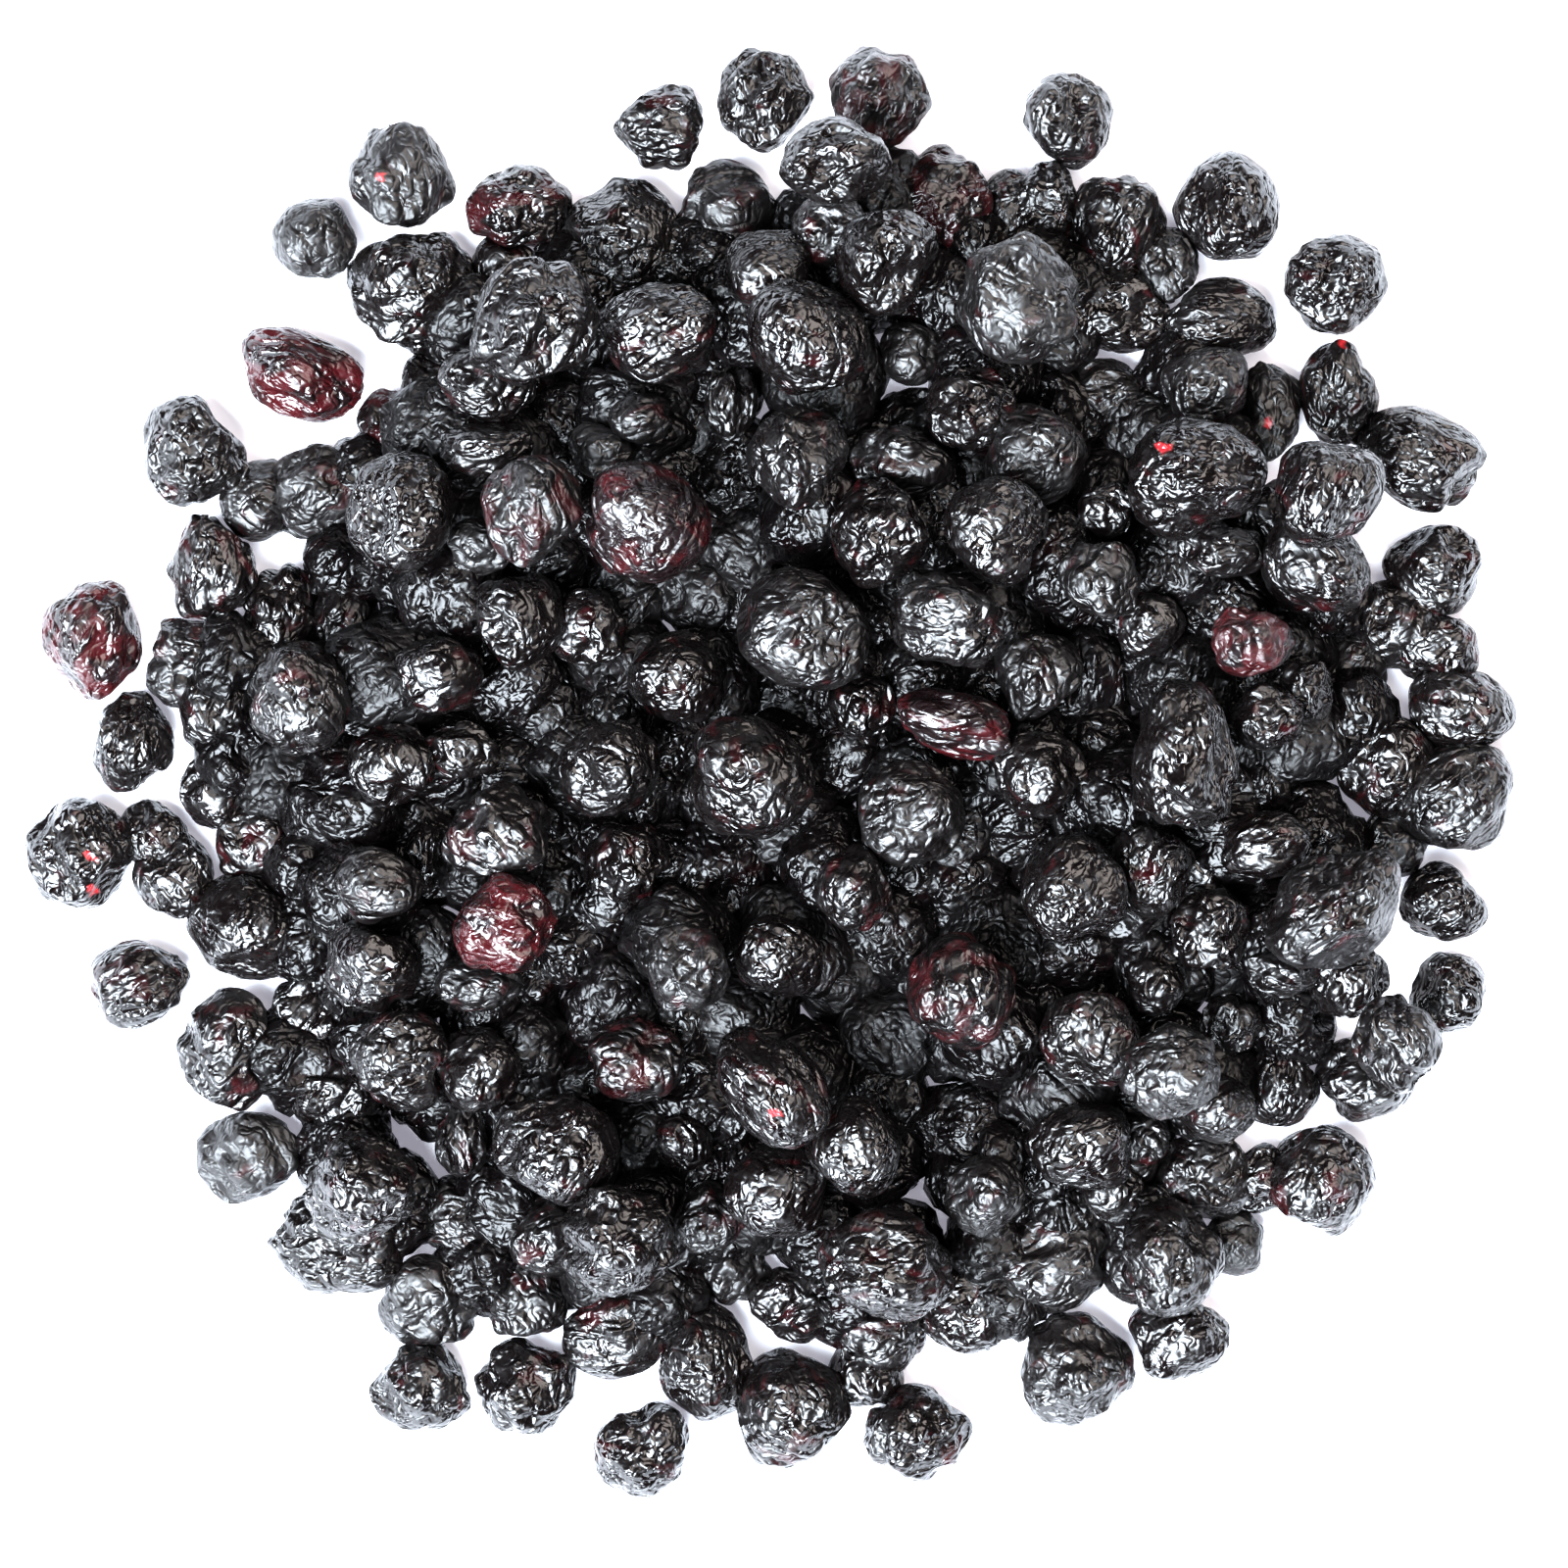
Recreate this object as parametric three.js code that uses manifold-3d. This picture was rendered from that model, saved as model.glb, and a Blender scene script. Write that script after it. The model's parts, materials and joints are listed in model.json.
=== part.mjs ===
// A heap of dried blueberries lying on a flat surface.
// Units are millimetres, +Z is up, and the heap lies on the plane z = 0 with its middle at the
// origin. Most berries touch and are fused into one body. The topmost ones and those at the very
// edge are solids of their own, a hair's breadth clear of their neighbours.

import * as THREE from 'three';
import { mergeVertices } from 'three/addons/utils/BufferGeometryUtils.js';
import Module from 'manifold-3d';

const wasm = await Module();
wasm.setup();

// Sizes in millimetres. A berry is about 9 mm across and 110 pixels across in the photo.
const BERRY_WIDTH = 9.0;
const BERRY_PIXELS = 110;
const MM_PER_PIXEL = BERRY_WIDTH / BERRY_PIXELS;
const HIDDEN_WIDTH_MIN = 9.5;
const HIDDEN_WIDTH_MAX = 11.5;
const SHORTEST_EDGE = 0.1;

// A berry that stands alone starts this far off, and stops this far from its neighbours.
const TRAVEL = 8;
const CLEARANCE = 0.35;
const SMALLEST_STEP = 0.02;

// A berry's height and the flat that it rests on, as shares of its size.
const HEIGHT_TO_WIDTH = 0.8;
const FLOOR_PRESS = 0.12;
const PRESSED_BELOW = -0.5;
const FLAT_SPOT = 0.75;

// Fused berries lie this share of their radii's sum apart, so their solids run together.
const TOUCH = 0.8;

// How far a solid's corners stand out from the ellipsoid, how uneven they are, and how many
// sides and rows of faces a solid has.
const FUSED_SWELL = 1.14;
const ALONE_SWELL = 1.05;
const UNEVEN = 0.07;
const FUSED_SIDES = 6;
const ALONE_SIDES = 8;
const ROWS = 4;

// The hidden berries under the ones that show: how far out they lie, and how many are tried.
const FLOOR_FILL_RADIUS = 47;
const UPPER_FILL_RADIUS = 40;
const FLOOR_FILL_TRIES = 4000;
const UPPER_FILL_COUNT = 10;
const SPOTS_TRIED = 60;

const PLACE_SEED = 22067;
const FUSED_SEED = 9769;
const ALONE_SEED = 7351;

const DARK = new THREE.Color(0x15121a);
const WINE = new THREE.Color(0x3a0f16);

// The heap's middle in the photo, in pixels.
const MIDDLE_PX = { x: 790, y: 788 };

// The berries that show: x, y, width and height in photo pixels, and the colour of the reddest.
// These lie on the floor at the edge, a little apart from the rest, clockwise from the top.
const EDGE_BERRIES = [
  [670, 131, 92, 90], [779, 102, 100, 103], [899, 100, 111, 106], [1088, 128, 93, 99],
  [1251, 214, 103, 108], [1362, 288, 108, 103], [1456, 468, 132, 103], [1478, 921, 92, 84],
  [1483, 1016, 82, 84], [1343, 1199, 114, 114], [1101, 1400, 115, 114], [936, 1466, 116, 103],
  [654, 1476, 100, 101], [1206, 1372, 98, 78], [259, 1178, 100, 90], [140, 1006, 100, 91],
  [84, 870, 114, 110], [144, 757, 80, 102], [96, 653, 103, 124, WINE], [199, 458, 112, 112],
  [308, 380, 124, 94, WINE], [328, 251, 87, 83], [407, 174, 109, 104],
];

// These lie on the floor too, and hold together with the heap.
const FLOOR_BERRIES = [
  [963, 199, 104, 114], [1034, 213, 72, 92], [1142, 224, 104, 100], [1146, 312, 106, 90],
  [1247, 322, 119, 86], [1370, 398, 83, 109], [1299, 418, 70, 105], [1466, 581, 103, 96],
  [1471, 663, 88, 84], [1497, 727, 112, 90], [1488, 812, 122, 113], [1418, 782, 104, 110],
  [1398, 1104, 104, 88], [1312, 1108, 80, 90], [1230, 1203, 98, 92], [1262, 1272, 64, 70],
  [1160, 1176, 90, 84], [426, 1418, 106, 93], [1072, 1290, 120, 110], [982, 1340, 92, 92],
  [898, 1368, 98, 88], [808, 1335, 91, 80], [810, 1442, 119, 127], [534, 1418, 106, 100],
  [721, 1392, 100, 126], [748, 1299, 83, 75], [629, 1362, 114, 103], [534, 1322, 90, 90],
  [435, 1329, 106, 95], [461, 1245, 91, 88], [342, 1268, 146, 116], [345, 1122, 106, 103],
  [232, 1072, 113, 128], [320, 1036, 94, 92], [251, 946, 132, 112], [172, 893, 84, 92],
  [259, 858, 86, 86], [216, 805, 76, 84], [220, 722, 84, 100], [196, 667, 90, 76],
  [281, 617, 80, 90], [348, 632, 86, 88], [213, 577, 96, 109], [318, 501, 108, 102],
  [528, 206, 111, 87], [398, 441, 76, 96], [439, 392, 66, 80], [415, 296, 131, 128],
  [515, 272, 72, 74], [634, 238, 119, 123], [742, 212, 108, 110],
];

// These lie on others within the heap, in the order in which they are laid down.
const INNER_BERRIES = [
  [498, 395, 100, 84], [785, 275, 90, 80], [850, 235, 86, 76], [653, 428, 66, 52],
  [746, 412, 56, 80], [614, 461, 70, 60], [498, 461, 96, 56], [931, 360, 66, 66],
  [1129, 520, 60, 60], [492, 560, 70, 60], [1123, 402, 96, 80], [1229, 395, 90, 84],
  [1121, 593, 86, 80], [1176, 636, 70, 66], [1246, 560, 90, 60], [1385, 679, 72, 78],
  [1325, 706, 72, 66], [1292, 732, 76, 70], [600, 640, 80, 80], [450, 690, 90, 80],
  [400, 780, 90, 90], [470, 765, 80, 60], [431, 873, 40, 80], [388, 903, 90, 80],
  [488, 1002, 92, 62], [488, 1092, 90, 90], [880, 720, 70, 70], [640, 880, 90, 84],
  [1226, 885, 56, 60], [1236, 948, 84, 84], [1309, 994, 76, 50], [1258, 1045, 70, 70],
  [1179, 1007, 60, 60], [1239, 1130, 84, 74], [1169, 1163, 54, 54], [1136, 1219, 66, 66],
  [471, 1162, 56, 80], [698, 1166, 60, 60], [725, 1242, 76, 76], [1005, 1220, 84, 84],
  [870, 905, 80, 90], [650, 1080, 100, 90], [1292, 862, 92, 70], [991, 418, 94, 86],
  [921, 471, 112, 76], [1056, 464, 106, 106], [1342, 575, 112, 104], [1060, 690, 92, 92],
  [690, 690, 100, 96], [530, 635, 96, 100], [308, 713, 104, 118], [382, 986, 100, 96],
  [408, 1082, 104, 104], [795, 975, 90, 86], [1173, 888, 84, 100], [1378, 1000, 84, 80],
  [1110, 1060, 104, 100], [980, 1010, 112, 120], [1100, 1170, 110, 90], [791, 1213, 106, 100],
  [556, 1262, 90, 90], [930, 830, 110, 110], [1060, 790, 100, 90],
];

// These lie on top, with nothing over them, in the order in which they are laid down.
const TOP_BERRIES = [
  [853, 168, 113, 95], [672, 343, 119, 102], [550, 332, 123, 120], [906, 270, 104, 110],
  [1035, 308, 118, 125], [825, 348, 120, 112], [814, 468, 98, 104], [1352, 508, 108, 105],
  [548, 524, 102, 106], [410, 528, 106, 120], [900, 545, 100, 110], [1015, 545, 104, 104],
  [965, 635, 108, 100], [1279, 656, 88, 70, WINE], [505, 848, 108, 96], [515, 940, 108, 104, WINE],
  [620, 785, 104, 104], [700, 985, 90, 94], [1093, 905, 104, 110], [1425, 1062, 96, 100],
  [1190, 1090, 100, 100], [1196, 1286, 109, 120], [368, 1211, 113, 109], [566, 1170, 130, 116],
  [634, 1262, 124, 112], [870, 1168, 98, 100], [1352, 928, 139, 119], [1206, 769, 112, 138],
  [975, 740, 116, 76, WINE], [900, 1287, 145, 118], [790, 1105, 120, 120],
  [663, 534, 122, 124, WINE], [1216, 488, 139, 125], [820, 645, 124, 120], [765, 790, 126, 122],
];

// Random numbers from 0 to 1, the same ones on every run.
function seededRandom(seed) {
  const factor = 16807;
  const modulus = 2147483647;
  let state = seed;
  return () => {
    state = (state * factor) % modulus;
    return state / modulus;
  };
}

// A berry is an ellipsoid: its middle and its half sizes.
function makeBerry(x, y, width, depth) {
  const radius = (width + depth) / 4;
  return { x, y, z: 0, halfX: width / 2, halfY: depth / 2, halfZ: radius * HEIGHT_TO_WIDTH, radius };
}

function berryFromPhoto([xPixel, yPixel, widthPixels, heightPixels, color = DARK]) {
  const berry = makeBerry(
    (xPixel - MIDDLE_PX.x) * MM_PER_PIXEL,
    (MIDDLE_PX.y - yPixel) * MM_PER_PIXEL,
    widthPixels * MM_PER_PIXEL,
    heightPixels * MM_PER_PIXEL,
  );
  berry.color = color;
  return berry;
}

function hiddenBerry(random, spread) {
  const turn = 2 * Math.PI * random();
  const reach = spread * Math.sqrt(random());
  const width = HIDDEN_WIDTH_MIN + (HIDDEN_WIDTH_MAX - HIDDEN_WIDTH_MIN) * random();
  const berry = makeBerry(reach * Math.cos(turn), reach * Math.sin(turn), width, width);
  berry.hidden = true;
  return berry;
}

function floorHeight(berry) {
  return berry.halfZ * (1 - FLOOR_PRESS);
}

// The height at which a berry comes to rest, let down straight from above.
function restingHeight(berry, placed) {
  let height = floorHeight(berry);
  for (const other of placed) {
    const reach = TOUCH * (berry.radius + other.radius);
    const rise = reach ** 2 - (berry.x - other.x) ** 2 - (berry.y - other.y) ** 2;
    if (rise > 0) {
      height = Math.max(height, other.z + HEIGHT_TO_WIDTH * Math.sqrt(rise));
    }
  }
  return height;
}

// Hidden berries go wherever the floor still has room for one.
function fillFloor(placed, random) {
  for (let i = 0; i < FLOOR_FILL_TRIES; i += 1) {
    const berry = hiddenBerry(random, FLOOR_FILL_RADIUS);
    berry.z = restingHeight(berry, placed);
    if (berry.z <= floorHeight(berry)) {
      placed.push(berry);
    }
  }
}

// Each further hidden berry goes to the lowest of several spots.
function fillHollows(placed, random) {
  for (let i = 0; i < UPPER_FILL_COUNT; i += 1) {
    const spots = Array.from({ length: SPOTS_TRIED }, () => hiddenBerry(random, UPPER_FILL_RADIUS));
    for (const spot of spots) {
      spot.z = restingHeight(spot, placed);
    }
    placed.push(spots.reduce((lowest, spot) => (spot.z < lowest.z ? spot : lowest)));
  }
}

// The berries that hold together as one body, from the floor up.
function pileBerries() {
  const random = seededRandom(PLACE_SEED);
  const middle = makeBerry(0, 0, HIDDEN_WIDTH_MAX, HIDDEN_WIDTH_MAX);
  middle.hidden = true;
  const placed = [...FLOOR_BERRIES.map(berryFromPhoto), middle];
  for (const berry of placed) {
    berry.z = floorHeight(berry);
  }
  fillFloor(placed, random);
  fillHollows(placed, random);
  for (const berry of INNER_BERRIES.map(berryFromPhoto)) {
    berry.z = restingHeight(berry, placed);
    placed.push(berry);
  }
  return placed;
}

function unitBall(sides) {
  return new THREE.SphereGeometry(1, sides, ROWS).rotateX(Math.PI / 2);
}

// A lumpy low ball, pressed flat where it lies on the floor.
function berrySolid(berry, ball, swell, random) {
  ball.rotateZ(2 * Math.PI * random());
  ball.deleteAttribute('normal');
  ball.deleteAttribute('uv');
  const geometry = mergeVertices(ball);
  const points = geometry.attributes.position;
  const onFloor = berry.z <= floorHeight(berry) + SMALLEST_STEP;
  for (let i = 0; i < points.count; i += 1) {
    const size = swell + UNEVEN * (2 * random() - 1);
    const pressed = onFloor && points.getZ(i) < PRESSED_BELOW;
    const spread = pressed ? FLAT_SPOT * size : size;
    const x = berry.x + berry.halfX * spread * points.getX(i);
    const y = berry.y + berry.halfY * spread * points.getY(i);
    const z = pressed ? 0 : berry.z + berry.halfZ * size * points.getZ(i);
    points.setXYZ(i, x, y, z);
  }
  return new wasm.Manifold(new wasm.Mesh({
    numProp: 3,
    vertProperties: new Float32Array(points.array),
    triVerts: new Uint32Array(geometry.index.array),
  }));
}

// Fuses the pile into one solid. The hollows that fusing seals inside it are filled.
function fusedSolid(pile) {
  const random = seededRandom(FUSED_SEED);
  const solids = pile.map((berry) => {
    const ball = berry.hidden ? new THREE.IcosahedronGeometry(1, 0) : unitBall(FUSED_SIDES);
    return berrySolid(berry, ball, FUSED_SWELL, random);
  });
  const bodies = wasm.Manifold.union(solids).simplify(SHORTEST_EDGE).decompose();
  return bodies.reduce((largest, body) => (body.volume() > largest.volume() ? body : largest));
}

function gapBetween(solid, others) {
  return Math.min(...others.map((other) => solid.minGap(other, TRAVEL)));
}

// Moves a solid along a way, until it all but touches another one or the way is at its end.
function moveUntilNear(solid, way, length, others) {
  let place = solid;
  let left = length;
  let gap = gapBetween(place, others);
  while (left > SMALLEST_STEP && gap > CLEARANCE + SMALLEST_STEP) {
    const step = Math.min(left, gap - CLEARANCE);
    place = place.translate(way.clone().multiplyScalar(step).toArray());
    left -= step;
    gap = gapBetween(place, others);
  }
  return place;
}

// A top berry is let down on the others.
function letDown(berry, solid, others) {
  const above = solid.translate([0, 0, TRAVEL]);
  return moveUntilNear(above, new THREE.Vector3(0, 0, -1), TRAVEL + berry.z, others);
}

// An edge berry slides in over the floor to its own place.
function slideIn(berry, solid, others) {
  const inward = new THREE.Vector3(-berry.x, -berry.y, 0).normalize();
  const outside = solid.translate(inward.clone().multiplyScalar(-TRAVEL).toArray());
  return moveUntilNear(outside, inward, TRAVEL, others);
}

function meshFromSolid(name, solid, color) {
  const { vertProperties, triVerts } = solid.getMesh();
  const geometry = new THREE.BufferGeometry();
  geometry.setAttribute('position', new THREE.BufferAttribute(vertProperties, 3));
  geometry.setIndex(new THREE.BufferAttribute(triVerts, 1));
  const skin = { color, roughness: 0.35, metalness: 0, flatShading: true };
  const mesh = new THREE.Mesh(geometry, new THREE.MeshStandardMaterial(skin));
  mesh.name = name;
  return mesh;
}

const heap = new THREE.Group();
const pile = pileBerries();
const solids = [fusedSolid(pile)];
heap.add(meshFromSolid('fused_berries', solids[0], DARK));

// Adds the berries of one list, each as a node of its own, put down one after another.
function addBerriesAlone(rows, name, startHeight, putDown, random) {
  rows.map(berryFromPhoto).forEach((berry, i) => {
    berry.z = startHeight(berry);
    const solid = putDown(berry, berrySolid(berry, unitBall(ALONE_SIDES), ALONE_SWELL, random), solids);
    solids.push(solid);
    heap.add(meshFromSolid(`${name}_${String(i + 1).padStart(2, '0')}`, solid, berry.color));
  });
}

const aloneRandom = seededRandom(ALONE_SEED);
const pileTop = Math.max(...pile.map((berry) => berry.z + berry.halfZ));
addBerriesAlone(EDGE_BERRIES, 'edge_berry', floorHeight, slideIn, aloneRandom);
addBerriesAlone(TOP_BERRIES, 'top_berry', () => pileTop, letDown, aloneRandom);

// The origin is under the middle of the whole heap.
const middle = new THREE.Box3().setFromObject(heap).getCenter(new THREE.Vector3());
heap.position.set(-middle.x, -middle.y, 0);

export default heap;
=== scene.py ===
# %% [markdown]
# # A heap of dried blueberries
#
# This file dresses a heap of dried blueberries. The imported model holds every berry's place and
# size as a plain low ball, and here each one gets its shrivelled skin. A dried berry is a ball
# that lost most of its water: its skin stayed as large as it was, so it had to fold. That gives
# three sizes of form, one on the other: a few large dents, folds one or two millimetres wide,
# and crinkles finer than a millimetre.
#
# The shapes are modelled once, as twelve different berries, and then copied all over the heap.
# Each copy is turned another way and stretched to its own place, so no two look alike.

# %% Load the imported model
import json
import math
import random

import bpy
import numpy as np
from mathutils import Matrix, Vector


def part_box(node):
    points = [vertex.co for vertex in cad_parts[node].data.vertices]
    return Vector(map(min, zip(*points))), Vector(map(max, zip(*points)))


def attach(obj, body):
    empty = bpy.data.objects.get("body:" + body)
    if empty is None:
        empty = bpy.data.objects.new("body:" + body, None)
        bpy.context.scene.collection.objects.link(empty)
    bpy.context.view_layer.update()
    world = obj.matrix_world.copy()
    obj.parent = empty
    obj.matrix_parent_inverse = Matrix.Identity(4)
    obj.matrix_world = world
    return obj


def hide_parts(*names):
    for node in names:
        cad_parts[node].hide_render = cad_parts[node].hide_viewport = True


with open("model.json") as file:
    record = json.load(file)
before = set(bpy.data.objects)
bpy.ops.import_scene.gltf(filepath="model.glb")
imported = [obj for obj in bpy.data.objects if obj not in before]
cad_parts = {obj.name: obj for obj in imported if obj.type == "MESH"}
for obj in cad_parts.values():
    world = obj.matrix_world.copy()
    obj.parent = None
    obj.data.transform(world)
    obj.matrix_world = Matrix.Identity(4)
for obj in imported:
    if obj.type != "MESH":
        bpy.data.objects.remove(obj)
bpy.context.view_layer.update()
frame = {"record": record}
MM = 0.001

# %% [markdown]
# ## Where the berries lie
#
# The heap is seen from straight above, so each berry that shows has a place and a size in the
# picture's frame of 1600 by 1600 pixels. A berry is about 9 mm and 110 pixels across. These are
# the same lists as in the model's source: x, y, width and height in pixels. The berries at the
# edge and on top have solids of their own in the model, and keep the place of those. The
# others are fused in one solid, so their places are worked out again from the lists.

# %% The berries that show
MM_PER_PIXEL = 9.0 / 110
MIDDLE_PX = (790, 788)
EDGE_COUNT = 23
TOP_COUNT = 35
FLOOR_BERRIES = [
    (963, 199, 104, 114), (1034, 213, 72, 92), (1142, 224, 104, 100), (1146, 312, 106, 90),
    (1247, 322, 119, 86), (1370, 398, 83, 109), (1299, 418, 70, 105), (1466, 581, 103, 96),
    (1471, 663, 88, 84), (1497, 727, 112, 90), (1488, 812, 122, 113), (1418, 782, 104, 110),
    (1398, 1104, 104, 88), (1312, 1108, 80, 90), (1230, 1203, 98, 92), (1262, 1272, 64, 70),
    (1160, 1176, 90, 84), (426, 1418, 106, 93), (1072, 1290, 120, 110), (982, 1340, 92, 92),
    (898, 1368, 98, 88), (808, 1335, 91, 80), (810, 1442, 119, 127), (534, 1418, 106, 100),
    (721, 1392, 100, 126), (748, 1299, 83, 75), (629, 1362, 114, 103), (534, 1322, 90, 90),
    (435, 1329, 106, 95), (461, 1245, 91, 88), (342, 1268, 146, 116), (345, 1122, 106, 103),
    (232, 1072, 113, 128), (320, 1036, 94, 92), (251, 946, 132, 112), (172, 893, 84, 92),
    (259, 858, 86, 86), (216, 805, 76, 84), (220, 722, 84, 100), (196, 667, 90, 76),
    (281, 617, 80, 90), (348, 632, 86, 88), (213, 577, 96, 109), (318, 501, 108, 102),
    (528, 206, 111, 87), (398, 441, 76, 96), (439, 392, 66, 80), (415, 296, 131, 128),
    (515, 272, 72, 74), (634, 238, 119, 123), (742, 212, 108, 110),
]
INNER_BERRIES = [
    (498, 395, 100, 84), (785, 275, 90, 80), (850, 235, 86, 76), (653, 428, 66, 52),
    (746, 412, 56, 80), (614, 461, 70, 60), (498, 461, 96, 56), (931, 360, 66, 66),
    (1129, 520, 60, 60), (492, 560, 70, 60), (1123, 402, 96, 80), (1229, 395, 90, 84),
    (1121, 593, 86, 80), (1176, 636, 70, 66), (1246, 560, 90, 60), (1385, 679, 72, 78),
    (1325, 706, 72, 66), (1292, 732, 76, 70), (600, 640, 80, 80), (450, 690, 90, 80),
    (400, 780, 90, 90), (470, 765, 80, 60), (431, 873, 40, 80), (388, 903, 90, 80),
    (488, 1002, 92, 62), (488, 1092, 90, 90), (880, 720, 70, 70), (640, 880, 90, 84),
    (1226, 885, 56, 60), (1236, 948, 84, 84), (1309, 994, 76, 50), (1258, 1045, 70, 70),
    (1179, 1007, 60, 60), (1239, 1130, 84, 74), (1169, 1163, 54, 54), (1136, 1219, 66, 66),
    (471, 1162, 56, 80), (698, 1166, 60, 60), (725, 1242, 76, 76), (1005, 1220, 84, 84),
    (870, 905, 80, 90), (650, 1080, 100, 90), (1292, 862, 92, 70), (991, 418, 94, 86),
    (921, 471, 112, 76), (1056, 464, 106, 106), (1342, 575, 112, 104), (1060, 690, 92, 92),
    (690, 690, 100, 96), (530, 635, 96, 100), (308, 713, 104, 118), (382, 986, 100, 96),
    (408, 1082, 104, 104), (795, 975, 90, 86), (1173, 888, 84, 100), (1378, 1000, 84, 80),
    (1110, 1060, 104, 100), (980, 1010, 112, 120), (1100, 1170, 110, 90), (791, 1213, 106, 100),
    (556, 1262, 90, 90), (930, 830, 110, 110), (1060, 790, 100, 90),
]
print(len(FLOOR_BERRIES), "berries on the floor and", len(INNER_BERRIES), "above them")

# %% [markdown]
# ## How the pile settles
#
# The model's source lays the fused berries down one after another: each one sinks until it
# touches a berry under it. The same rule with the same numbers is repeated here, so that each
# berry lies where its solid lies. The random numbers come from a small generator whose row is
# the same on every machine.

# %% The rule of the pile
HIDDEN_WIDTH_MIN = 9.5
HIDDEN_WIDTH_MAX = 11.5
FLOOR_FILL_RADIUS = 47
UPPER_FILL_RADIUS = 40
FLOOR_FILL_TRIES = 4000
UPPER_FILL_COUNT = 10
SPOTS_TRIED = 60
HEIGHT_TO_WIDTH = 0.8
FLOOR_PRESS = 0.12
TOUCH = 0.8
PLACE_SEED = 22067
# The source moves the whole heap by this much, which puts its middle over the origin.
HEAP_SHIFT = (0.2506, -0.0471)


def seeded_random(seed):
    state = seed
    while True:
        state = state * 16807 % 2147483647
        yield state / 2147483647


def make_berry(x, y, width, depth):
    radius = (width + depth) / 4
    return {
        "x": x, "y": y, "radius": radius, "hidden": False,
        "half": (width / 2, depth / 2, radius * HEIGHT_TO_WIDTH),
    }


def berry_from_row(row):
    x, y, width, depth = (value * MM_PER_PIXEL for value in row)
    middle_x, middle_y = (value * MM_PER_PIXEL for value in MIDDLE_PX)
    return make_berry(x - middle_x, middle_y - y, width, depth)


def hidden_berry(numbers, spread):
    turn = 2 * math.pi * next(numbers)
    reach = spread * math.sqrt(next(numbers))
    width = HIDDEN_WIDTH_MIN + (HIDDEN_WIDTH_MAX - HIDDEN_WIDTH_MIN) * next(numbers)
    berry = make_berry(reach * math.cos(turn), reach * math.sin(turn), width, width)
    berry["hidden"] = True
    return berry


def floor_height(berry):
    return berry["half"][2] * (1 - FLOOR_PRESS)


def resting_height(berry, placed):
    height = floor_height(berry)
    for other in placed:
        reach = TOUCH * (berry["radius"] + other["radius"])
        rise = reach ** 2 - (berry["x"] - other["x"]) ** 2 - (berry["y"] - other["y"]) ** 2
        if rise > 0:
            height = max(height, other["z"] + HEIGHT_TO_WIDTH * math.sqrt(rise))
    return height


def settle_pile():
    numbers = seeded_random(PLACE_SEED)
    middle = make_berry(0, 0, HIDDEN_WIDTH_MAX, HIDDEN_WIDTH_MAX)
    middle["hidden"] = True
    placed = [berry_from_row(row) for row in FLOOR_BERRIES] + [middle]
    for berry in placed:
        berry["z"] = floor_height(berry)
    for _ in range(FLOOR_FILL_TRIES):
        berry = hidden_berry(numbers, FLOOR_FILL_RADIUS)
        berry["z"] = resting_height(berry, placed)
        if berry["z"] <= floor_height(berry):
            placed.append(berry)
    for _ in range(UPPER_FILL_COUNT):
        spots = [hidden_berry(numbers, UPPER_FILL_RADIUS) for _ in range(SPOTS_TRIED)]
        for spot in spots:
            spot["z"] = resting_height(spot, placed)
        placed.append(min(spots, key=lambda spot: spot["z"]))
    for row in INNER_BERRIES:
        berry = berry_from_row(row)
        berry["z"] = resting_height(berry, placed)
        placed.append(berry)
    return placed


pile = settle_pile()
print(len(pile), "berries are fused,", sum(berry["hidden"] for berry in pile), "of them hidden")

# %% [markdown]
# ## Berries that have a solid of their own
#
# A berry at the edge or on top takes its place and size from its own solid's box. Each becomes a
# row: its name, its middle, its half sizes, and whether it lies on the floor, where its own
# weight pressed it flat.

# %% Rows from the solids
def row_from_node(node, on_floor):
    low, high = (np.array(corner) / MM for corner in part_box(node))
    middle, half = (low + high) / 2, (high - low) / 2
    if on_floor:
        half[2] = high[2] / (2 - FLOOR_PRESS)
        middle[2] = half[2] * (1 - FLOOR_PRESS)
    return {"name": node, "middle": middle, "half": half, "on_floor": on_floor, "hidden": False}


edge_rows = [row_from_node(f"edge_berry_{i:02d}", True) for i in range(1, EDGE_COUNT + 1)]
top_rows = [row_from_node(f"top_berry_{i:02d}", False) for i in range(1, TOP_COUNT + 1)]
print(len(edge_rows), "berries at the edge and", len(top_rows), "on top")

# %% [markdown]
# ## Berries deep in the gaps
#
# Between the berries on top, more of them show as dark rounds deep in the pile. They could be
# placed by hand, but nobody sees which is which, so they are dropped at random on the floor
# wherever there is room for one. They stay clear of the edge berries and of the places near the
# edge where the white table shows. Twelve more lie half under their neighbours near the edge.
# Those are seen, so each has a place and a width.

# %% Where the deep and the half covered berries may lie
# How many places are tried, how far from the middle, how wide the berries are, and how near to
# another one they may lie, as a share of the two radii.
DEEP_SEED = 5
DEEP_TRIES = 9000
DEEP_SPREAD = 49
DEEP_WIDTH_MIN = 8.0
DEEP_WIDTH_MAX = 10.0
DEEP_TOUCH = 0.5
# Deep berries keep their distance only from berries whose middle is lower than this.
LOW_LAYER = 6.0
# How far they keep from a place where the table shows, in millimetres, and from the middle of
# an edge berry, as a share of its half width.
OPEN_MARGIN = 0.8
EDGE_OVERLAP = 0.7
OPEN_PLACES_PX = [
    (487, 1370), (1124, 1327), (1313, 353), (467, 229), (787, 1373), (293, 560), (420, 1167),
    (398, 372), (1245, 1300), (222, 990), (300, 447), (695, 172), (1290, 1150), (1277, 1152),
]
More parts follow.
